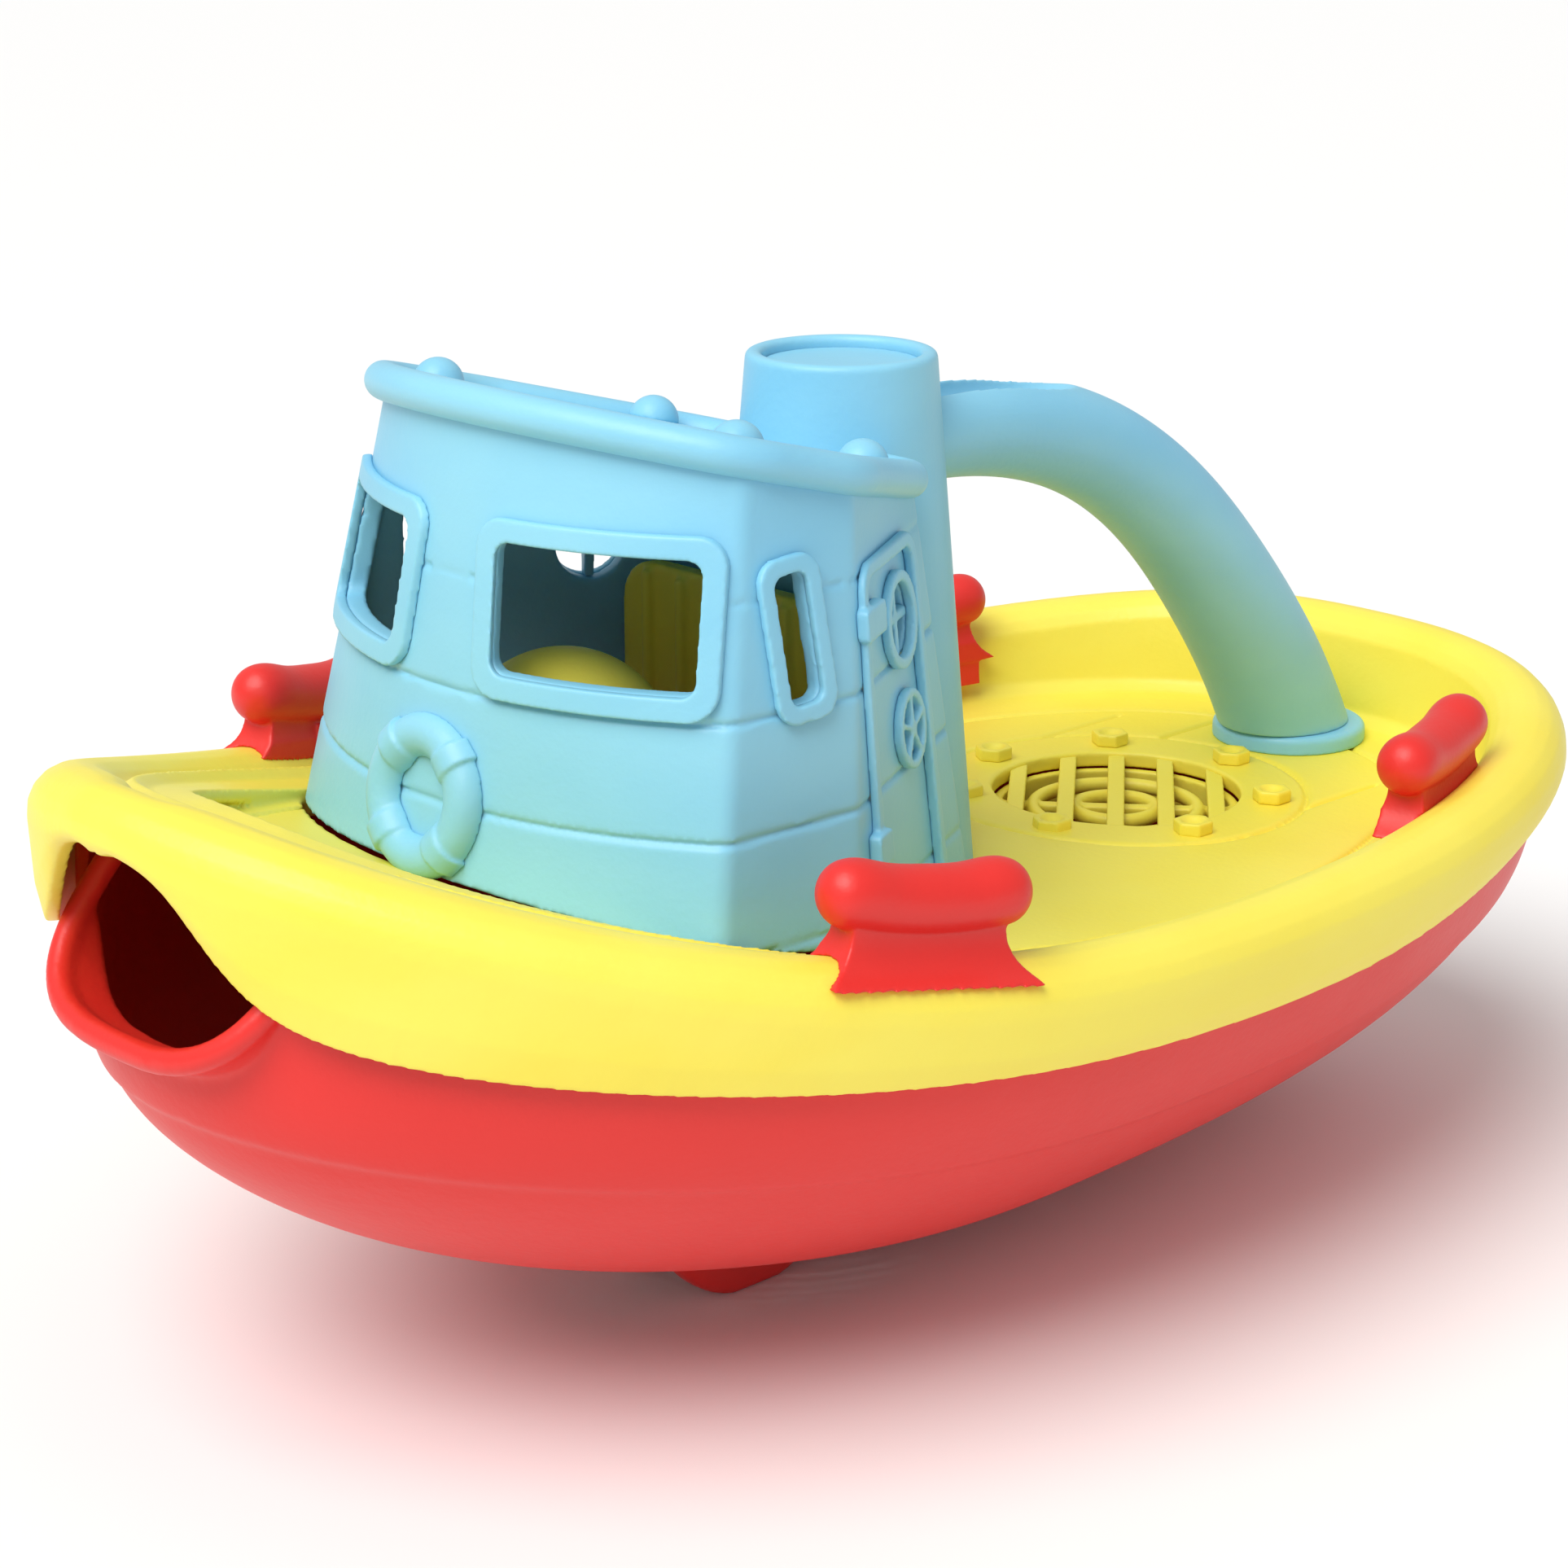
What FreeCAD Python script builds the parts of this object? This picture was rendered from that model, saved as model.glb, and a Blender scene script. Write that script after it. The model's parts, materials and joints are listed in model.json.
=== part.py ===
"""Toy tugboat for bath and sand play: a scooped hull, a deck with a bulwark, a cabin, a funnel and
a pouring handle.

Millimetres. +X is the bow, +Y is port, +Z is up. The origin is the centre of the bounding box,
on the surface that the keel fins stand on.
"""
import FreeCAD
import Part
import math
import os

V = FreeCAD.Vector

# Overall size. The model is drawn from a datum just aft of the cabin's middle. Each piece is moved
# by DATUM_SHIFT and DATUM_DROP when it is saved, which centres the whole length on the origin and
# puts the feet of the fins at zero.
LENGTH = 256.0
BREADTH = 152.0
DATUM_SHIFT = 4.0
DATUM_DROP = 7.0
BOW_X = LENGTH / 2 - DATUM_SHIFT
STERN_X = -LENGTH / 2 - DATUM_SHIFT
HALF_BREADTH = BREADTH / 2
MIDSHIP_X = 4.0
BOW_POWER = 2.0
STERN_POWER = 2.5
WALL = 2.6
GAP = 0.25

# Deck
ROLL_RADIUS = 6.2
FLOOR_THICKNESS = 2.6
RAIL_WIDTH = 15.0
RIM_STATIONS = 34
ARCH_TOP = 92.5
ARCH_HALF = 18.0
PLANK_PITCH = 13.5
GROOVE_WIDTH = 1.0
GROOVE_DEPTH = 0.9

# Hull
HULL_BOTTOM = 12.5
HULL_LEVELS = 11
CHINE_DROP = 14.5
CHINE_STEP = 0.7
HULL_FULLNESS = 1.7
HULL_FOOT_HALF = 8.0
HULL_FOOT_POWERS = (1.7, 1.95)
HULL_STERN_RISE = 43.0
HULL_BOW_RISE = 109.0
SPOUT_RADIUS = 23.5
SPOUT_POWER = 3.0
SPOUT_FOOT = (122.6, 66.8)
SPOUT_LEAN = 43.0
SPOUT_BEAD = 1.8
# Fins: x, radius, and distance between the port and starboard fin
FINS = ((24.5, 18.0, 16.0), (-51.0, 14.0, 20.0))
FIN_THICKNESS = 4.4
FIN_FLAT = 0.8

# Hatch
HATCH_X = -62.0
GRATE_RADIUS = 19.5
HATCH_GROOVE = 29.3
HATCH_BOLT_RING = 24.5
HATCH_BOLTS = 7
HATCH_BOLT_START = 18.0
BOLT_RADIUS = 3.1
BOLT_HEIGHT = 2.0
BAR_WIDTH = 2.7
BAR_PITCH = 7.8
BAR_HEADING = 41.0
RING_RADII = (6.5, 13.0)

# Cabin and roof: port half of the wall's outline at its foot and at the roof
CABIN_FOOT_Z = 60.0
CABIN_HEAD_Z = 142.0
CABIN_FOOT = ((79.0, 0.0), (65.0, 46.0), (40.0, 46.5), (-2.5, 26.5))
CABIN_HEAD = ((64.5, 0.0), (49.0, 35.0), (32.5, 36.0), (8.0, 19.5))
CABIN_WALL = 2.4
CABIN_CORNER = 3.2
SIDING_GROOVE = 0.55
ROOF_SLOPE = 0.26
ROOF_Z = 120.8
ROOF_THICKNESS = 2.4
ROOF_CORNER = 11.0
ROOF_ROLL = 2.6
ROOF_ROLL_LIFT = 1.6
SIDING_PITCH = 14.5
WINDOW_FRAME = 2.6
WINDOW_PROUD = 1.2
ROOF_OVERHANG = 3.0
PORTHOLE = (18.8, 33.0, 109.0)
HAND_WHEEL = (18.2, 33.0, 94.0)
LIFEBUOY = (73.4, 0.0, 89.0)

# Funnel and handle
FUNNEL_X = -1.0
FUNNEL_TOP_Z = 138.0
FUNNEL_FOOT_Z = 58.0
FUNNEL_TOP_RADIUS = 13.4
FUNNEL_FOOT_RADIUS = 20.0
FUNNEL_WALL = 2.4
HANDLE_PATH = ((-9, 124.0), (-30, 123.4), (-52, 117.2), (-71, 105.0), (-86, 89.5), (-97, 75.0), (-105, 60.5))
HANDLE_THIN = 7.2
HANDLE_THICK = 10.4
FOOT_RADIUS = 12.5
FOOT_HEIGHT = 3.0

# Cleats
# Middle x, inset from the planform, and height of the top above the bulwark
CLEATS = {"bow": (46.5, 7.5, 12.0), "stern": (-69.5, 14.0, 8.5)}
CLEAT_LENGTH = 30.0
CLEAT_ROLL_RADIUS = 4.4
CLEAT_SADDLE = 0.9


def save(shape, node):
    shape.translated(V(DATUM_SHIFT, 0, -DATUM_DROP)).exportStep("parts/" + node + ".step")


def floor_z(x):
    """Top of the deck floor: flat at the stern, then rising to the bow."""
    rise = max(0.0, x + 62.0)
    return 61.0 + 0.00096 * rise ** 2


def rim_z(x):
    """Top of the bulwark: lowest just aft of midships."""
    low = x + 25.0
    if low < 0:
        return 72.5 + 0.00052 * low ** 2
    return 72.5 + 0.0001 * low ** 2.5


def sheer_edge(x):
    """Line of the skirt's lower edge before the arch: lowest a little aft of midships."""
    low = x + 20.0
    if low < 0:
        return 58.4 + 14.0 * (1 - math.exp(-(low / 88.0) ** 2))
    return 58.4 + 0.00073 * low ** 2


def skirt_z(x, y):
    """Lower edge of the deck's outer skirt, which lifts into an arch over the spout."""
    edge = sheer_edge(x)
    if x > MIDSHIP_X:
        edge += (ARCH_TOP - edge) / (1 + (abs(y) / ARCH_HALF) ** 4)
    return edge


def half_breadth(x, inset=0.0):
    """Half breadth of the planform at x, drawn in by inset."""
    reach = (BOW_X - MIDSHIP_X if x > MIDSHIP_X else MIDSHIP_X - STERN_X) - inset
    power = BOW_POWER if x > MIDSHIP_X else STERN_POWER
    u = min(1.0, abs(x - MIDSHIP_X) / reach)
    return (HALF_BREADTH - inset) * (1 - u ** power) ** (1 / power)


def plan_point(angle, inset=0.0):
    """Point of the planform at an angle from the bow, 0 to 2 pi, drawn in by inset."""
    c = math.cos(angle)
    s = math.sin(angle)
    reach = (BOW_X - MIDSHIP_X if c > 0 else MIDSHIP_X - STERN_X) - inset
    power = BOW_POWER if c > 0 else STERN_POWER
    x = MIDSHIP_X + math.copysign(reach * abs(c) ** (2 / power), c)
    y = math.copysign((HALF_BREADTH - inset) * abs(s) ** (2 / power), s)
    return x, y


def spline_wire(points):
    curve = Part.BSplineCurve()
    curve.interpolate(Points=[V(*p) for p in points], PeriodicFlag=True)
    return Part.Wire([curve.toShape()])


def plan_wire(inset, z, count=48):
    return spline_wire([(*plan_point(2 * math.pi * (i + 0.5) / count, inset), z) for i in range(count)])


def prism(wire, height):
    return Part.Face(wire).extrude(V(0, 0, height))


def sheer_slab(lower, upper, margin=6.0, count=24):
    """Solid across the whole breadth between two height functions of x."""
    xs = [STERN_X - margin + (LENGTH + 2 * margin) * i / count for i in range(count + 1)]
    low = Part.BSplineCurve()
    low.interpolate(Points=[V(x, -BREADTH, lower(x)) for x in xs])
    high = Part.BSplineCurve()
    high.interpolate(Points=[V(x, -BREADTH, upper(x)) for x in xs])
    ends = [Part.makeLine(V(x, -BREADTH, lower(x)), V(x, -BREADTH, upper(x))) for x in (xs[0], xs[-1])]
    wire = Part.Wire(Part.__sortEdges__([low.toShape(), ends[1], high.toShape(), ends[0]]))
    return Part.Face(wire).extrude(V(0, 2 * BREADTH, 0))


def mirrored(shape):
    return shape.mirror(V(0, 0, 0), V(0, 1, 0))


def rim_section(angle):
    """Closed profile of the bulwark and skirt, standing on the planform's normal."""
    x, y = plan_point(angle)
    ahead = plan_point(angle + 0.01)
    behind = plan_point(angle - 0.01)
    tx = ahead[0] - behind[0]
    ty = ahead[1] - behind[1]
    size = math.hypot(tx, ty)
    nx = ty / size
    ny = -tx / size
    if angle < 0.01 or angle > math.pi - 0.01:
        ny = 0.0
        nx = math.copysign(1.0, math.cos(angle))
        y = 0.0
    top = rim_z(x)
    floor = floor_z(x)
    skirt = skirt_z(x, y)
    r = min(ROLL_RADIUS, 0.7 * (top - skirt))
    side = skirt + 0.35 * (top - r - skirt)
    outer = [(-1.4, skirt), (-0.4, side), (0.0, top - 1.1 * r)]
    turns = [math.radians(a) for a in range(15, 156, 20)]
    crown = [(-r + r * math.cos(a), top - r + r * math.sin(a)) for a in turns]
    inner = [(-RAIL_WIDTH + 1.5, floor + 2.0), (-RAIL_WIDTH - 0.5, floor + 0.3), (-RAIL_WIDTH - 6, floor - 0.3),
             (-RAIL_WIDTH - 6, floor - FLOOR_THICKNESS + 0.4), (-RAIL_WIDTH + 1.0, floor - FLOOR_THICKNESS)]
    under = [(-r - 3.2, top - r - 1.5), (-r, top - WALL - 0.6), (-WALL - 0.4, top - r - 0.6),
             (-WALL - 0.4, side), (-WALL - 0.7, skirt)]
    points = [V(x + nx * d, y + ny * d, z) for d, z in outer + crown + inner + under]
    return Part.makePolygon(points + [points[0]])


def rim():
    """Port and starboard halves, with their stations closer together round the spout's arch."""
    angles = [math.pi * (i / RIM_STATIONS) ** 1.3 for i in range(RIM_STATIONS + 1)]
    half = Part.makeLoft([rim_section(a) for a in angles], True, False)
    return half, mirrored(half)


def deck_floor():
    plate = sheer_slab(lambda x: floor_z(x) - FLOOR_THICKNESS, floor_z)
    return plate.common(prism(plan_wire(RAIL_WIDTH + 1.0, 40), 80))


def groove(x0, y0, x1, y1):
    """Cutter for one straight plank groove that follows the floor."""
    length = math.hypot(x1 - x0, y1 - y0)
    bar = Part.makeBox(length, GROOVE_WIDTH, 60, V(0, -GROOVE_WIDTH / 2, 40))
    bar.rotate(V(0, 0, 0), V(0, 0, 1), math.degrees(math.atan2(y1 - y0, x1 - x0)))
    bar.translate(V(x0, y0, 0))
    return bar


def plank_grooves():
    """Fore-and-aft plank lines with staggered butt joints, and the margin line round them."""
    cutters = []
    lines = 4
    for i in range(-lines, lines + 1):
        y = i * PLANK_PITCH
        reach = [x for x in range(-112, 112) if half_breadth(x, RAIL_WIDTH + 11) > abs(y) + 1.0]
        if reach:
            cutters.append(groove(reach[0], y, reach[-1], y))
    for i in range(-lines, lines):
        y = (i + 0.5) * PLANK_PITCH
        for k in range(-3, 4):
            x = k * 44.0 + (22.0 if i % 2 else 0.0) - 8.0
            if half_breadth(x, RAIL_WIDTH + 14) > abs(y) + PLANK_PITCH / 2:
                cutters.append(groove(x, y - PLANK_PITCH / 2, x, y + PLANK_PITCH / 2))
    outline = prism(plan_wire(RAIL_WIDTH + 9, 40), 60).cut(prism(plan_wire(RAIL_WIDTH + 9 + GROOVE_WIDTH, 39), 62))
    ring = Part.makeCylinder(HATCH_GROOVE + GROOVE_WIDTH, 60, V(HATCH_X, 0, 40)).cut(
        Part.makeCylinder(HATCH_GROOVE, 60, V(HATCH_X, 0, 40)))
    inside = Part.makeCylinder(HATCH_GROOVE + GROOVE_WIDTH / 2, 60, V(HATCH_X, 0, 40))
    planks = Part.makeCompound(cutters).cut(inside)
    skin = sheer_slab(lambda x: floor_z(x) - GROOVE_DEPTH, lambda x: floor_z(x) + 3)
    return [c.common(skin) for c in (planks, outline, ring)]


def deck():
    port, starboard = rim()
    body = port.fuse(starboard).fuse(deck_floor())
    body = body.cut(Part.makeCylinder(GRATE_RADIUS, 60, V(HATCH_X, 0, 40)))
    body = body.cut(cabin_block(-GAP))
    for grooves in plank_grooves():
        body = body.cut(grooves)
    return body


def hull_level(z):
    """Aft reach, fore reach, half breadth, and the bow's and stern's plan powers at height z."""
    rise = (z - HULL_BOTTOM) / (62.0 - HULL_BOTTOM)
    fullness = (1 - (1 - min(1.0, rise)) ** HULL_FULLNESS) ** (1 / HULL_FULLNESS)
    half = HULL_FOOT_HALF + (HALF_BREADTH - 3.8 - HULL_FOOT_HALF) * fullness
    aft = STERN_X + 4.0 + HULL_STERN_RISE * (1 - fullness)
    fore = BOW_X - 6.0 - HULL_BOW_RISE * (1 - fullness)
    foot_bow, foot_stern = HULL_FOOT_POWERS
    powers = (foot_bow + (BOW_POWER - foot_bow) * fullness, foot_stern + (STERN_POWER - foot_stern) * fullness)
    return aft, fore, half, powers


def hull_wire(z, inset=0.0, count=40):
    aft, fore, half, powers = hull_level(z)
    points = []
    for i in range(count):
        angle = 2 * math.pi * (i + 0.5) / count
        c = math.cos(angle)
        s = math.sin(angle)
        reach = (fore - MIDSHIP_X if c > 0 else MIDSHIP_X - aft) - inset
        power = powers[0] if c > 0 else powers[1]
        x = MIDSHIP_X + math.copysign(reach * abs(c) ** (2 / power), c)
        y = math.copysign((half - inset) * abs(s) ** (2 / power), s)
        points.append((x, y, z))
    return spline_wire(points)


def hull_body(inset=0.0):
    top = 86.0
    low = HULL_BOTTOM + inset
    heights = [low + (top - low) * (i / (HULL_LEVELS - 1)) ** 1.7 for i in range(HULL_LEVELS)]
    return Part.makeLoft([hull_wire(z - (inset if i == 0 else 0), inset).translated(V(0, 0, inset if i == 0 else 0))
                          for i, z in enumerate(heights)], True, False)


def lip_frame():
    """Middle of the spout's leaning lip, its forward normal, and the way down it to its foot."""
    lean = math.radians(SPOUT_LEAN)
    normal = V(math.cos(lean), 0, math.sin(lean))
    down = V(math.sin(lean), 0, -math.cos(lean))
    middle = V(SPOUT_FOOT[0], 0, SPOUT_FOOT[1]) - down * SPOUT_RADIUS
    return middle, normal, down


def trough_wire(centre, radius, way):
    """Round-cornered U of the spout about centre, its bottom towards way."""
    points = []
    for i in range(24):
        angle = 2 * math.pi * (i + 0.5) / 24
        c = math.cos(angle)
        s = math.sin(angle)
        down = math.copysign(abs(c) ** (2 / SPOUT_POWER), c) * radius
        out = math.copysign(abs(s) ** (2 / SPOUT_POWER), s) * radius
        point = centre + way * down + V(0, out, 0)
        points.append((point.x, point.y, point.z))
    return spline_wire(points)


def spout(inset, reach=0.0):
    """Trough that runs forward from the bow to a lip that leans back."""
    middle, normal, down = lip_frame()
    stations = [(V(78, 0, 78), 27.0, 0.0), (V(94, 0, 81.5), 23.5, 0.5), (middle, SPOUT_RADIUS, 1.0)]
    if reach:
        stations.append((middle + normal * reach, SPOUT_RADIUS, 1.0))
    wires = []
    for centre, radius, turn in stations:
        way = V(0, 0, -1) * (1 - turn) + down * turn
        way.normalize()
        wires.append(trough_wire(centre, radius - inset, way))
    return Part.makeLoft(wires, True, False)


def spout_bead():
    """Rolled edge swept round the spout's lip."""
    middle, _, down = lip_frame()
    path = trough_wire(middle, SPOUT_RADIUS - WALL / 2, down)
    edge = path.Edges[0]
    start = edge.FirstParameter
    profile = Part.Wire([Part.makeCircle(SPOUT_BEAD, edge.valueAt(start), edge.tangentAt(start))])
    return path.makePipeShell([profile], True, False)


def ahead_of_lip():
    """Everything in front of the plane of the spout's lip."""
    middle, normal, _ = lip_frame()
    block = Part.makeBox(80, 160, 160, V(0, -80, -80))
    block.rotate(V(0, 0, 0), V(0, 1, 0), -SPOUT_LEAN)
    return block.translated(middle)


def fin(x, radius, y):
    """Half-disc keel fin with rounded sides and a small flat where it stands."""
    base = DATUM_DROP - FIN_FLAT
    disc = Part.makeCylinder(radius, FIN_THICKNESS, V(x, -FIN_THICKNESS / 2, base + radius), V(0, 1, 0))
    disc = disc.makeFillet(1.2, [e for e in disc.Edges if e.Closed])
    below = Part.makeBox(60, 20, 10, V(x - 30, -10, DATUM_DROP - 10))
    return disc.cut(below).translated(V(0, y, 0))


def hull_lid():
    """Space that the deck fills: above the floor inside the bulwark, and above the bulwark's hollow."""
    floor = sheer_slab(lambda x: min(floor_z(x) - FLOOR_THICKNESS, 88.0) - GAP, lambda x: 220 + 0 * x)
    hollow = sheer_slab(lambda x: min(rim_z(x), 97.0) - ROLL_RADIUS - 2.6, lambda x: 220 + 0 * x)
    return floor.common(prism(plan_wire(RAIL_WIDTH - 5.0, 0), 200)), hollow


def hull():
    chine = sheer_slab(lambda x: 0 * x, lambda x: sheer_edge(x) - CHINE_DROP)
    outside = hull_body().cut(chine).fuse(hull_body(CHINE_STEP).common(chine))
    body = outside.cut(ahead_of_lip()).fuse(spout(0))
    for x, radius, spacing in FINS:
        for side in (-1, 1):
            body = body.fuse(fin(x, radius, side * spacing / 2))
    body = body.cut(hull_body(WALL)).cut(spout(WALL, 20.0)).fuse(spout_bead())
    for lid in hull_lid():
        body = body.cut(lid)
    return body


def cabin_wire(outline, inset, z):
    """Closed outline of the cabin: a bowed front, two sides, two quarters and a back."""
    (fx, _), (cx, cy), (sx, sy), (qx, qy) = outline
    cy -= inset
    sy -= inset
    qy -= inset
    fx -= inset
    cx -= inset * 0.7
    qx += inset
    front = Part.Arc(V(cx, -cy, z), V(fx, 0, z), V(cx, cy, z)).toShape()
    points = [V(cx, cy, z), V(sx, sy, z), V(qx, qy, z), V(qx, -qy, z), V(sx, -sy, z), V(cx, -cy, z)]
    lines = [Part.makeLine(p, q) for p, q in zip(points, points[1:])]
    return Part.Wire([front] + lines)


def cabin_block(inset, corner=CABIN_CORNER):
    """Solid inside the cabin's walls, drawn in by inset, with its upright corners rounded."""
    foot = cabin_wire(CABIN_FOOT, inset, CABIN_FOOT_Z)
    head = cabin_wire(CABIN_HEAD, inset, CABIN_HEAD_Z)
    block = Part.makeLoft([foot, head], True, True)
    upright = [e for e in block.Edges if e.BoundBox.ZLength > 50]
    return block.makeFillet(corner - inset, upright)


def roof_z(x):
    return ROOF_Z + ROOF_SLOPE * x


def siding(walls):
    """Level lap lines round the cabin's walls."""
    skin = cabin_block(-1.0).cut(cabin_block(SIDING_GROOVE))
    for i in range(4):
        line = Part.makeBox(LENGTH, BREADTH, 0.9, V(-LENGTH / 2, -HALF_BREADTH, 74.0 + i * SIDING_PITCH))
        walls = walls.cut(skin.common(line))
    return walls


def cabin():
    walls = cabin_block(0).cut(cabin_block(CABIN_WALL))
    span = sheer_slab(lambda x: floor_z(x) + GAP, roof_z)
    return siding(walls.common(span))


def window_prism(centre, heading, width, height, corner, lean=0.0):
    """Rounded bar that pierces the cabin wall at centre, square to the heading in plan."""
    w = width / 2
    h = height / 2
    block = Part.makeBox(24, width, height, V(-16, -w, -h))
    block = block.makeFillet(corner, [e for e in block.Edges if abs(e.BoundBox.XLength - 24) < 0.01])
    block.rotate(V(0, 0, 0), V(1, 0, 0), lean)
    block.rotate(V(0, 0, 0), V(0, 0, 1), heading)
    return block.translated(V(*centre))


def both_sides(shape):
    return {"port": shape, "starboard": mirrored(shape)}


def relief(proud):
    """Skin that stands proud of the cabin wall."""
    return cabin_block(-proud).cut(cabin_block(0))


def cabin_windows():
    """Openings of the port half: name, centre, heading, width, height, corner radius, lean."""
    return {
        "bow": window_prism((64.5, 23.0, 115.0), 29, 28.5, 16.5, 2.0, 0),
        "side": window_prism((45.5, 40.5, 112.5), 86, 5.4, 16.5, 1.6, 5),
    }


def cabin_window_frames():
    return {
        "bow": window_prism((64.5, 23.0, 115.0), 29, 34.5, 22.5, 4.0, 0),
        "side": window_prism((45.5, 40.5, 112.5), 86, 10.0, 21.0, 3.2, 5),
    }


def door_frame(skin):
    """Rod that frames the door, with two clamp bands on its forward leg."""
    heading = 115.5
    outer = window_prism((22.0, 35.0, 92.5), heading, 25.0, 54.0, 4.0, 0)
    hole = window_prism((22.0, 35.0, 92.5), heading, 21.2, 50.2, 2.6, 0)
    rod = skin.common(outer.cut(hole))
    along = V(math.cos(math.radians(heading - 90)), math.sin(math.radians(heading - 90)), 0)
    proud = relief(WINDOW_PROUD + 0.7)
    for z, length, out in ((112.0, 8.0, 9.5), (82.5, 5.0, 11.8)):
        band = window_prism(tuple(V(22.0, 35.0, z) + along * out), heading, length, 4.4, 0.8, 0)
        rod = rod.fuse(proud.common(band))
    return rod


def quarter_disc(centre, radius, heading=115.5):
    """Round bar that pierces the port quarter of the cabin, square to its wall."""
    angle = math.radians(heading)
    way = V(math.cos(angle), math.sin(angle), 0.1)
    return Part.makeCylinder(radius, 24, V(*centre) - way * 14, way)


def quarter_bar(centre, length, width, tilt, shift=0.0, heading=115.5):
    """Bar through the port quarter, turned by tilt about its axis and moved along the wall."""
    bar = Part.makeBox(24, length, width, V(-14, shift - length / 2, -width / 2))
    bar.rotate(V(0, 0, 0), V(1, 0, 0), tilt)
    bar.rotate(V(0, 0, 0), V(0, 0, 1), heading)
    return bar.translated(V(*centre))


def porthole_ring(skin):
    return skin.common(quarter_disc(PORTHOLE, 6.6)).cut(quarter_disc(PORTHOLE, 5.0))


def porthole_bars():
    """Cross bars that fill the open porthole."""
    shell = cabin_block(-0.2).cut(cabin_block(1.8))
    cross = quarter_bar(PORTHOLE, 10.4, 1.4, 0).fuse(quarter_bar(PORTHOLE, 10.4, 1.4, 90))
    return shell.common(cross).common(quarter_disc(PORTHOLE, 5.0))


def hand_wheel(skin):
    ring = quarter_disc(HAND_WHEEL, 5.4).cut(quarter_disc(HAND_WHEEL, 4.2))
    wheel = ring.fuse(quarter_disc(HAND_WHEEL, 1.2))
    for i in range(5):
        reach = quarter_bar(HAND_WHEEL, 4.8, 0.8, 0, 2.4)
        centre = V(*HAND_WHEEL)
        way = V(math.cos(math.radians(115.5)), math.sin(math.radians(115.5)), 0)
        reach.rotate(centre, way, 72 * i + 18)
        wheel = wheel.fuse(reach)
    return skin.common(wheel)


def lifebuoy():
    """Ring float on the cabin front, half sunk into the wall, with four rope bands."""
    tilt = 11.0
    ring = Part.makeTorus(8.0, 3.0, V(0, 0, 0), V(1, 0, 0))
    for i in range(4):
        band = Part.makeCylinder(3.5, 3.2, V(0, -1.6, 8.0), V(0, 1, 0))
        band.rotate(V(0, 0, 0), V(1, 0, 0), 45 + 90 * i)
        ring = ring.fuse(band)
    ring.rotate(V(0, 0, 0), V(0, 1, 0), -tilt)
    ring = ring.translated(V(*LIFEBUOY))
    return ring.cut(cabin_block(0))


def roof_plane():
    """Unit normal of the roof's plane."""
    normal = V(-ROOF_SLOPE, 0, 1)
    normal.normalize()
    return normal


def roof():
    """Flat plate set down inside the rolled edge."""
    plate = sheer_slab(roof_z, lambda x: roof_z(x) + ROOF_THICKNESS)
    plate = plate.common(cabin_block(ROOF_ROLL - ROOF_OVERHANG, ROOF_CORNER))
    return plate.cut(roof_rail_body()).cut(funnel_plug(0.0))


def roof_rail_body():
    """Round roll swept along the roof's outline."""
    normal = roof_plane()
    height = normal.dot(V(0, 0, ROOF_Z + ROOF_ROLL_LIFT))
    block = cabin_block(ROOF_ROLL - ROOF_OVERHANG, ROOF_CORNER)
    path = block.slice(normal, height)[0]
    start = path.Edges[0]
    profile = Part.Wire([Part.makeCircle(ROOF_ROLL, start.valueAt(start.FirstParameter),
                                         start.tangentAt(start.FirstParameter))])
    return path.makePipeShell([profile], True, False)


def roof_rail():
    return roof_rail_body().cut(funnel_plug(0.0))


def roof_lugs():
    """Half domes along the inner edge of the roof's roll."""
    rail = roof_rail_body()
    below = sheer_slab(lambda x: 0 * x, lambda x: roof_z(x) + ROOF_THICKNESS)
    lugs = []
    for x, y in ((46.5, 30.0), (46.5, -30.0), (15.5, 21.0), (15.5, -21.0)):
        dome = Part.makeSphere(3.6, V(x, y, roof_z(x) + ROOF_THICKNESS))
        lugs.append(dome.cut(below).cut(rail))
    return Part.makeCompound(lugs)


def funnel_plug(grow):
    tall = FUNNEL_TOP_Z - FUNNEL_FOOT_Z
    return Part.makeCone(FUNNEL_FOOT_RADIUS + grow, FUNNEL_TOP_RADIUS + grow, tall, V(FUNNEL_X, 0, FUNNEL_FOOT_Z))


def funnel():
    """Tapering tube from the deck to above the roof, with a rounded top edge."""
    floor = sheer_slab(lambda x: 0 * x, lambda x: floor_z(x))
    tube = funnel_plug(0).cut(funnel_plug(-FUNNEL_WALL))
    tube = tube.makeFillet(1.0, [e for e in tube.Edges if e.Closed and e.BoundBox.ZMin > FUNNEL_TOP_Z - 0.1])
    return tube.cut(floor)


def funnel_cap():
    """Disc that closes the funnel a little below its lip."""
    disc = Part.makeCylinder(20, 2.0, V(FUNNEL_X, 0, FUNNEL_TOP_Z - 3.6))
    return disc.common(funnel_plug(-FUNNEL_WALL))


def handle_spine():
    spine = Part.BSplineCurve()
    spine.interpolate(Points=[V(x, 0, z) for x, z in HANDLE_PATH])
    return spine


def spine_ring(t, radius, lift=0.0):
    """Circle square to the handle's spine at t, 0 at the funnel and 1 at the deck, lifted off it."""
    spine = handle_spine()
    u = spine.FirstParameter + (spine.LastParameter - spine.FirstParameter) * t
    way = spine.tangent(u)[0]
    up = V(-way.z, 0, way.x)
    if up.z < 0:
        up = up * -1
    return Part.Wire([Part.makeCircle(radius, spine.value(u) + up * lift, way)])


def handle_sections():
    span = HANDLE_THICK - HANDLE_THIN
    return [spine_ring(i / 16, HANDLE_THIN + span * (i / 16) ** 1.3) for i in range(17)]


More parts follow.
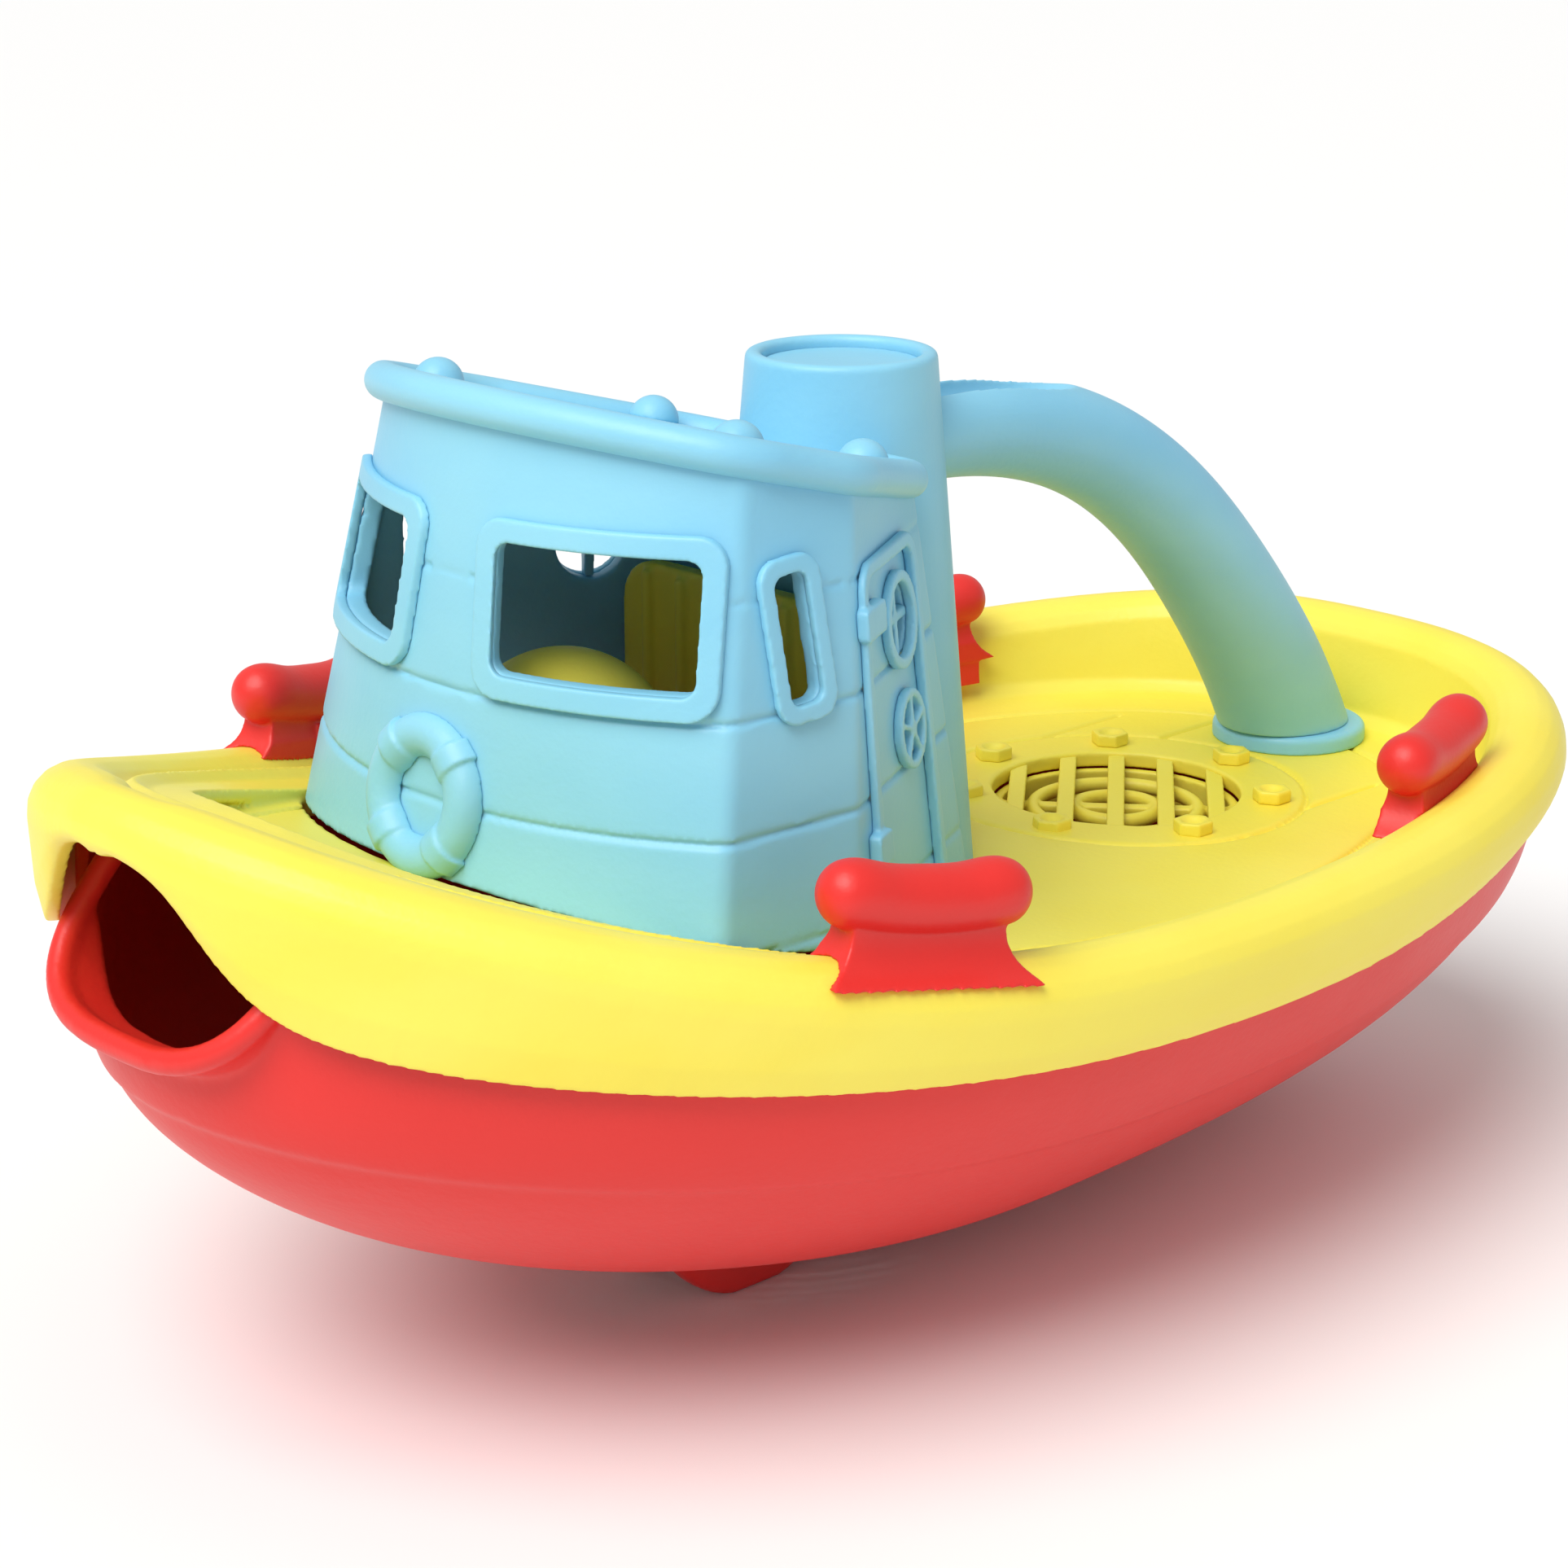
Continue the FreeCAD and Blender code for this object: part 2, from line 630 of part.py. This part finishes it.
def handle_channel():
    """Rings of the cutter that opens the handle's top and runs out about a third of the way along."""
    return [spine_ring(t, 4.4, lift) for t, lift in ((0.0, 5.0), (0.08, 5.0), (0.16, 5.4), (0.24, 7.6), (0.31, 12.5))]


def handle():
    """Tapering round arch from the funnel's back to the deck, with an open channel near the funnel."""
    body = Part.makeLoft(handle_sections(), True, False)
    channel = Part.makeLoft(handle_channel(), True, False)
    floor = Part.makeBox(80, 80, 80, V(HATCH_X - 90, -40, 61.0 + FOOT_HEIGHT - 80))
    return body.cut(channel).cut(funnel_plug(0)).cut(floor)


def handle_foot():
    """Round flange that the handle stands in."""
    x = HANDLE_PATH[-1][0]
    disc = Part.makeCylinder(FOOT_RADIUS, FOOT_HEIGHT, V(x, 0, 61.0))
    return disc.makeFillet(1.2, [e for e in disc.Edges if e.Closed and e.BoundBox.ZMin > 62])


def cleat_roll():
    """Round bar with domed ends and a slight saddle."""
    half = CLEAT_LENGTH / 2
    r = CLEAT_ROLL_RADIUS
    wires = []
    for u in (-1.0, -0.985, -0.93, -0.84, -0.70, -0.4, 0.0, 0.4, 0.70, 0.84, 0.93, 0.985, 1.0):
        x = u * half
        past = max(0.0, abs(x) - (half - r))
        radius = max(0.5, math.sqrt(max(0.0, r ** 2 - past ** 2)))
        lift = CLEAT_SADDLE * min(1.0, abs(u) / 0.7) ** 2
        wires.append(Part.Wire([Part.makeCircle(radius, V(x, 0, lift), V(1, 0, 0))]))
    return Part.makeLoft(wires, True, False)


def cleat_waist():
    """Waist under the roll that flares out into pointed tips."""
    wires = []
    for z, hx, hy in ((-0.5, 11.3, 2.8), (-4.0, 11.2, 2.8), (-6.0, 11.9, 3.4), (-7.8, 13.4, 4.8), (-9.4, 15.4, 7.2)):
        corners = [V(-hx, -hy, z), V(hx, -hy, z), V(hx, hy, z), V(-hx, hy, z)]
        wires.append(Part.makePolygon(corners + corners[:1]))
    waist = Part.makeLoft(wires, True, False)
    return waist.cut(Part.makeBox(40, 10, 20, V(-20, -13.4, -16)))


def cleat(place, side, deck_shape):
    """Mooring cleat that straddles the inner edge of the bulwark: roll, waist, flare and inner plate."""
    x_mid, inset, rise = CLEATS[place]
    y_mid = half_breadth(x_mid, inset)
    slope = (half_breadth(x_mid + 8, inset) - half_breadth(x_mid - 8, inset)) / 16
    roll_z = rim_z(x_mid) + rise - CLEAT_ROLL_RADIUS
    depth = roll_z - floor_z(x_mid) - 3.0
    pitch = math.degrees(math.atan((rim_z(x_mid + 8) - rim_z(x_mid - 8)) / 16))
    body = cleat_roll().fuse(cleat_waist())
    body = body.fuse(Part.makeBox(25, 2.6, depth - 8, V(-12.5, -3.0, -depth)))
    rib = Part.makeBox(3.0, 1.2, depth - 4, V(-1.5, -4.0, -depth))
    body = body.fuse(rib)
    body.rotate(V(0, 0, 0), V(0, 1, 0), -pitch)
    body.rotate(V(0, 0, 0), V(0, 0, 1), math.degrees(math.atan(slope)))
    body = body.translated(V(x_mid, y_mid, roll_z))
    if side == "starboard":
        body = mirrored(body)
    return max(body.cut(deck_shape).Solids, key=lambda solid: solid.Volume)


def grate_bars():
    """Straight flat bars across the hatch."""
    well = Part.makeCylinder(GRATE_RADIUS, 10, V(HATCH_X, 0, 54))
    bars = []
    for i in range(-2, 3):
        bar = Part.makeBox(60, BAR_WIDTH, 1.6, V(-30, i * BAR_PITCH - BAR_WIDTH / 2, 58.9))
        bar.rotate(V(0, 0, 0), V(0, 0, 1), BAR_HEADING)
        bars.append(bar.translated(V(HATCH_X, 0, 0)).common(well))
    return Part.makeCompound(bars)


def grate_rings():
    """Round rings under the bars, joined to a collar that hangs from the deck."""
    well = Part.makeCylinder(GRATE_RADIUS, 12, V(HATCH_X, 0, 50))
    rings = Part.makeCylinder(GRATE_RADIUS, 5.0, V(HATCH_X, 0, 53.4)).cut(
        Part.makeCylinder(GRATE_RADIUS - 1.6, 5.0, V(HATCH_X, 0, 53.4)))
    spider = Part.makeBox(2 * GRATE_RADIUS, 2.2, 1.4, V(-GRATE_RADIUS, -1.1, 56.8))
    spider.rotate(V(0, 0, 0), V(0, 0, 1), BAR_HEADING + 90)
    rings = rings.fuse(spider.translated(V(HATCH_X, 0, 0)).common(well))
    for radius in RING_RADII:
        rings = rings.fuse(Part.makeTorus(radius, 1.2, V(HATCH_X, 0, 57.5)))
    return rings


def hatch_bolts():
    """Hexagonal bolt heads round the hatch, each with a dimple."""
    bolts = []
    for i in range(HATCH_BOLTS):
        angle = math.radians(HATCH_BOLT_START + 360 * i / HATCH_BOLTS)
        x = HATCH_X + HATCH_BOLT_RING * math.cos(angle)
        y = HATCH_BOLT_RING * math.sin(angle)
        turns = [k * math.pi / 3 for k in range(7)]
        corners = [V(x + BOLT_RADIUS * math.cos(a), y + BOLT_RADIUS * math.sin(a), 61.0) for a in turns]
        head = Part.Face(Part.makePolygon(corners)).extrude(V(0, 0, BOLT_HEIGHT))
        bolts.append(head.cut(Part.makeSphere(2.4, V(x, y, 61.0 + BOLT_HEIGHT + 1.5))))
    return Part.makeCompound(bolts)


def console():
    """Helm console inside the cabin, with a domed top."""
    base = Part.makeBox(16, 34, 20, V(42, -17, 72))
    dome = Part.makeSphere(15, V(52, 2, 90)).common(Part.makeBox(40, 40, 40, V(32, -18, 92)))
    return base.fuse(dome)


def seat():
    """Upright seat back with ribs behind the console."""
    plate = Part.makeBox(2.6, 40, 38, V(20, -20, 71))
    plate = plate.makeFillet(6.0, [e for e in plate.Edges if e.BoundBox.ZMin > 108 and e.BoundBox.XLength > 2
                                   and e.BoundBox.YLength < 0.1])
    for i in range(-2, 3):
        plate = plate.fuse(Part.makeBox(1.2, 1.6, 30, V(22.6, i * 7.0 - 0.8, 78)))
    return plate


def above_deck(shape):
    """The part of a shape that stands clear above the deck floor."""
    return shape.cut(sheer_slab(lambda x: 0 * x, floor_z))


def build():
    nodes = {}
    nodes["hull"] = hull()
    deck_shape = deck()
    nodes["deck"] = deck_shape
    walls = cabin()
    skin = relief(WINDOW_PROUD)
    for place, cutter in cabin_windows().items():
        outer = cabin_window_frames()[place]
        ring = skin.common(outer).cut(cutter)
        for side, piece in both_sides(ring).items():
            nodes["window_frame_" + place + "_" + side] = piece
        for piece in both_sides(cutter).values():
            walls = walls.cut(piece)
    for piece in both_sides(quarter_disc(PORTHOLE, 5.0)).values():
        walls = walls.cut(piece)
    quarter = {"door_frame": door_frame(skin), "porthole_frame": porthole_ring(skin),
               "porthole_bars": porthole_bars(), "hand_wheel": hand_wheel(skin)}
    for node, shape in quarter.items():
        for side, piece in both_sides(shape).items():
            nodes[node + "_" + side] = piece
    nodes["cabin"] = walls.cut(funnel_plug(0))
    nodes["lifebuoy"] = lifebuoy()
    nodes["roof"] = roof()
    nodes["roof_rail"] = roof_rail()
    nodes["roof_lugs"] = roof_lugs()
    nodes["funnel"] = funnel()
    nodes["funnel_cap"] = funnel_cap()
    nodes["handle"] = handle()
    nodes["handle_foot"] = handle_foot()
    for side in ("port", "starboard"):
        for place in CLEATS:
            nodes["cleat_" + place + "_" + side] = cleat(place, side, deck_shape)
    nodes["grate_bars"] = grate_bars()
    nodes["grate_rings"] = grate_rings()
    nodes["hatch_bolts"] = hatch_bolts()
    nodes["helm"] = above_deck(console())
    nodes["seat"] = above_deck(seat())
    return nodes


if __name__ == "__main__":
    os.makedirs("parts", exist_ok=True)
    for node, shape in build().items():
        print(node, shape.isValid(), round(shape.Volume, 1), len(shape.Solids))
        save(shape, node)
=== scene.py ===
"""Toy tugboat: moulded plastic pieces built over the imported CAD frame. Metres, +X bow, +Y port."""
import bpy
import json
import math
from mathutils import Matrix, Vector


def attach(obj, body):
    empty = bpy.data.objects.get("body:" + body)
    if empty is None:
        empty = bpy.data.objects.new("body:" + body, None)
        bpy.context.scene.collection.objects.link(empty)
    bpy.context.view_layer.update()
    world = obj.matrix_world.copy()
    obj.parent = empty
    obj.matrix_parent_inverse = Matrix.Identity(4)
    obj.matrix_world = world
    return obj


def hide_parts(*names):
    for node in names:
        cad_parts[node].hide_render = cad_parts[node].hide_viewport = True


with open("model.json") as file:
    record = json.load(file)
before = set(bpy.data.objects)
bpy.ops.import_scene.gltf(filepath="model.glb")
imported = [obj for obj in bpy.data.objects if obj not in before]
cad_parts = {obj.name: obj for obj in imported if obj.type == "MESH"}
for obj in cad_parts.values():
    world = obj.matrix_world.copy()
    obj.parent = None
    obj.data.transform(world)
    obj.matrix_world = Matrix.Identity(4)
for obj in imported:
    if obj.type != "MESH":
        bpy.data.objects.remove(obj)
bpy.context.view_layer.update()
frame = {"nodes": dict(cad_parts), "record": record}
nodes = frame["nodes"]

MM = 0.001

# Skins: voxel in millimetres and smoothing passes of the large pieces, and of all the others
SKINS = {
    "hull": (0.6, 8),
    "deck": (0.42, 3),
    "cabin": (0.4, 4),
    "roof": (0.4, 4),
    "seat": (0.4, 6),
    "helm": (0.4, 6),
}
SMALL_SKIN = (0.28, 5)
MOST_TRIANGLES = 190000

# Colours: the plastic where it is thick, and the deeper tint of its flow marks
RED = (0.75, 0.024, 0.019, 1.0)
RED_FLOW = (0.72, 0.022, 0.017, 1.0)
YELLOW = (0.92, 0.79, 0.10, 1.0)
YELLOW_FLOW = (0.90, 0.74, 0.065, 1.0)
BLUE = (0.27, 0.62, 0.80, 1.0)
BLUE_FLOW = (0.22, 0.56, 0.77, 1.0)
WHITE = (1.0, 1.0, 1.0, 1.0)
FLOOR_TONE = (0.90, 0.90, 0.90, 1.0)

# Plastic: noise scales are per metre
REFRACTION = 1.49
GLOW_WEIGHT = 0.06
GLOW_RADIUS = (0.006, 0.004, 0.002)
GLOW_SCALE = 0.4
FLOW_SCALE = 22.0
FLOW_STRETCH = (1, 1, 2.2)
FLOW_RANGE = (0.30, 0.62)
RUB_SCALE = 60.0
RUB_RANGE = (-0.05, 0.08)
PEEL = {"scale": 900.0, "detail": 2.0, "strength": 0.12, "distance": 0.0004}
WAVES = {"scale": 70.0, "detail": 1.0, "strength": 0.10, "distance": 0.0012}

# Camera
CAMERA_AZIMUTH = 136.6
CAMERA_ELEVATION = 17.3
CAMERA_DISTANCE = 0.4867
CAMERA_TARGET = Vector((0.014, 0.0, 0.070))
CAMERA_LENS = 78.5
SENSOR = 36.0

# Light
FLOOR_HALF = 6.0
KEY_FROM = (96, 56)
KEY_POWER = 2.35
KEY_SPREAD = 46.0
KEY_COLOUR = (1.0, 0.99, 0.97)
GLEAM_FROM = (118, 48)
GLEAM_DISTANCE = 1.1
GLEAM_SIZE = (0.5, 0.35)
GLEAM_POWER = 1.6
SURROUND_POWER = 0.50


def plastic(name, colour, deep, rough, seed):
    """Satin moulded plastic: faint flow marks in the colour, orange-peel skin and rubbed patches."""
    mat = bpy.data.materials.new(name)
    mat.use_nodes = True
    tree = mat.node_tree
    shader = tree.nodes["Principled BSDF"]
    shader.inputs["IOR"].default_value = REFRACTION
    shader.inputs["Subsurface Weight"].default_value = GLOW_WEIGHT
    shader.inputs["Subsurface Radius"].default_value = GLOW_RADIUS
    shader.inputs["Subsurface Scale"].default_value = GLOW_SCALE
    coords = tree.nodes.new("ShaderNodeTexCoord")

    def noise(scale, detail, stretch=(1, 1, 1)):
        mapping = tree.nodes.new("ShaderNodeMapping")
        mapping.inputs["Location"].default_value = (seed * 0.37, seed * 0.11, seed * 0.23)
        mapping.inputs["Scale"].default_value = stretch
        tree.links.new(coords.outputs["Object"], mapping.inputs["Vector"])
        texture = tree.nodes.new("ShaderNodeTexNoise")
        texture.inputs["Scale"].default_value = scale
        texture.inputs["Detail"].default_value = detail
        tree.links.new(mapping.outputs["Vector"], texture.inputs["Vector"])
        return texture.outputs["Fac"]

    def relief(row):
        bump = tree.nodes.new("ShaderNodeBump")
        bump.inputs["Strength"].default_value = row["strength"]
        bump.inputs["Distance"].default_value = row["distance"]
        tree.links.new(noise(row["scale"], row["detail"]), bump.inputs["Height"])
        return bump

    flow = tree.nodes.new("ShaderNodeValToRGB")
    for element, position, tint in zip(flow.color_ramp.elements, FLOW_RANGE, (deep, colour)):
        element.position = position
        element.color = tint
    tree.links.new(noise(FLOW_SCALE, 3.0, FLOW_STRETCH), flow.inputs["Fac"])
    tree.links.new(flow.outputs["Color"], shader.inputs["Base Color"])

    gloss = tree.nodes.new("ShaderNodeMapRange")
    gloss.inputs["To Min"].default_value = rough + RUB_RANGE[0]
    gloss.inputs["To Max"].default_value = rough + RUB_RANGE[1]
    tree.links.new(noise(RUB_SCALE, 5.0), gloss.inputs["Value"])
    tree.links.new(gloss.outputs["Result"], shader.inputs["Roughness"])

    peel = relief(PEEL)
    waves = relief(WAVES)
    tree.links.new(peel.outputs["Normal"], waves.inputs["Normal"])
    tree.links.new(waves.outputs["Normal"], shader.inputs["Normal"])
    return mat


MATERIALS = {
    "red_plastic": plastic("red_plastic", RED, RED_FLOW, 0.40, 1.0),
    "yellow_plastic": plastic("yellow_plastic", YELLOW, YELLOW_FLOW, 0.42, 2.0),
    "blue_plastic": plastic("blue_plastic", BLUE, BLUE_FLOW, 0.42, 3.0),
}


def apply_modifiers(obj):
    """Bakes the object's modifiers into its mesh."""
    graph = bpy.context.evaluated_depsgraph_get()
    mesh = bpy.data.meshes.new_from_object(obj.evaluated_get(graph))
    obj.modifiers.clear()
    obj.data = mesh


def moulded(node, slot_name, voxel, passes):
    """Moulded skin of a CAD node: an even mesh whose edges are softened as a tool's edges are."""
    obj = bpy.data.objects.new(node + "_skin", nodes[node].data.copy())
    bpy.context.scene.collection.objects.link(obj)
    remesh = obj.modifiers.new("remesh", "REMESH")
    remesh.mode = "VOXEL"
    remesh.voxel_size = voxel * MM
    soften = obj.modifiers.new("soften", "SMOOTH")
    soften.factor = 0.5
    soften.iterations = passes
    apply_modifiers(obj)
    triangles = sum(len(face.vertices) - 2 for face in obj.data.polygons)
    if triangles > MOST_TRIANGLES:
        thin = obj.modifiers.new("thin", "DECIMATE")
        thin.ratio = MOST_TRIANGLES / triangles
        apply_modifiers(obj)
    obj.data.shade_smooth()
    obj.data.materials.clear()
    obj.data.materials.append(MATERIALS[slot_name])
    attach(obj, "root")
    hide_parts(node)


def view_vector(azimuth, elevation):
    """Unit vector towards a viewer at the azimuth and elevation, in degrees."""
    a = math.radians(azimuth)
    e = math.radians(elevation)
    return Vector((math.sin(a) * math.cos(e), -math.cos(a) * math.cos(e), math.sin(e)))


def aimed(name, data, way):
    """Object of data in the scene that looks back along way, the direction it is seen from."""
    obj = bpy.data.objects.new(name, data)
    obj.rotation_mode = "QUATERNION"
    obj.rotation_quaternion = (-way).to_track_quat("-Z", "Y")
    bpy.context.scene.collection.objects.link(obj)
    return obj


def key_light():
    """Even light over the whole floor, with a soft-edged shadow."""
    data = bpy.data.lights.new("key", "SUN")
    data.energy = KEY_POWER
    data.angle = math.radians(KEY_SPREAD)
    data.color = KEY_COLOUR
    aimed("key", data, view_vector(*KEY_FROM))


def gleam_light():
    """Small panel that puts a highlight on the rounded edges."""
    data = bpy.data.lights.new("gleam", "AREA")
    data.shape = "RECTANGLE"
    data.size, data.size_y = GLEAM_SIZE
    data.energy = GLEAM_POWER
    place = view_vector(*GLEAM_FROM) * GLEAM_DISTANCE
    gleam = aimed("gleam", data, place - CAMERA_TARGET)
    gleam.location = place


def studio_floor():
    mesh = bpy.data.meshes.new("studio_floor")
    corners = [(x * FLOOR_HALF, y * FLOOR_HALF, 0) for x, y in ((-1, -1), (1, -1), (1, 1), (-1, 1))]
    mesh.from_pydata(corners, [], [(0, 1, 2, 3)])
    floor = bpy.data.objects.new("studio_floor", mesh)
    bpy.context.scene.collection.objects.link(floor)
    paper = bpy.data.materials.new("studio_paper")
    paper.use_nodes = True
    shader = paper.node_tree.nodes["Principled BSDF"]
    shader.inputs["Base Color"].default_value = FLOOR_TONE
    shader.inputs["Roughness"].default_value = 0.9
    shader.inputs["Specular IOR Level"].default_value = 0.1
    mesh.materials.append(paper)


def surround():
    """Plain white light from all round."""
    world = bpy.data.worlds.new("studio")
    world.use_nodes = True
    background = world.node_tree.nodes["Background"]
    background.inputs["Color"].default_value = WHITE
    background.inputs["Strength"].default_value = SURROUND_POWER
    bpy.context.scene.world = world
    bpy.context.scene.view_settings.view_transform = "Standard"


def camera():
    data = bpy.data.cameras.new("camera")
    data.sensor_width = SENSOR
    data.lens = CAMERA_LENS
    data.clip_start = 0.01
    data.clip_end = 30.0
    back = view_vector(CAMERA_AZIMUTH, CAMERA_ELEVATION)
    obj = aimed("camera", data, back)
    obj.location = CAMERA_TARGET + back * CAMERA_DISTANCE
    bpy.context.scene.camera = obj


slots = {row["node"]: row["material_slot"] for row in frame["record"]["subparts"]}
for name in sorted(nodes):
    moulded(name, slots[name], *SKINS.get(name, SMALL_SKIN))
studio_floor()
key_light()
gleam_light()
surround()
camera()
